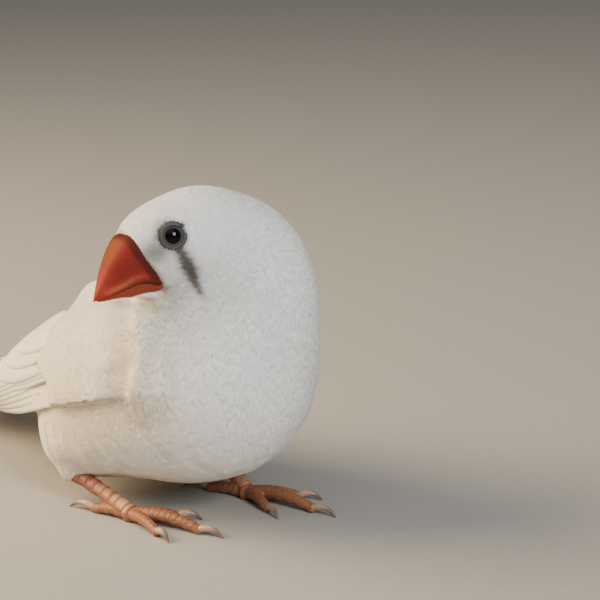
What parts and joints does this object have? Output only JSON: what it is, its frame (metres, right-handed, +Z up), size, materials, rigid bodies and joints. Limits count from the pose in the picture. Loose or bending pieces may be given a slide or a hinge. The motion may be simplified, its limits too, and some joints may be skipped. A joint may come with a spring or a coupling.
{
  "type": "zebra finch",
  "caption": "Still, life-size white zebra finch, fluffed up on both feet and looking back over its right shoulder, with a short conical red bill and folded wings.",
  "frame": {"origin": "on the floor, under the middle of the bounding box", "axes": "+X the way the body faces, breast ahead and tail behind; +Y the bird's left; +Z up"},
  "size_m": [0.0822, 0.0369, 0.0463],
  "materials": {
    "white_plumage": "matte",
    "flight_feathers": "matte",
    "bill": "satin",
    "eye": "gloss",
    "leg_skin": "satin",
    "claw": "satin"
  },
  "bodies": {
    "root": {"torso": "white_plumage", "neck": "white_plumage", "head": "white_plumage", "upper_bill": "bill", "lower_bill": "bill", "tail": "flight_feathers", "eye_right": "eye", "wing_right": "flight_feathers", "tarsus_right": "leg_skin", "foot_right": "leg_skin", "claw_right_hind": "claw", "claw_right_inner": "claw", "claw_right_middle": "claw", "claw_right_outer": "claw", "eye_left": "eye", "wing_left": "flight_feathers", "tarsus_left": "leg_skin", "foot_left": "leg_skin", "claw_left_hind": "claw", "claw_left_inner": "claw", "claw_left_middle": "claw", "claw_left_outer": "claw"}
  },
  "joints": []
}
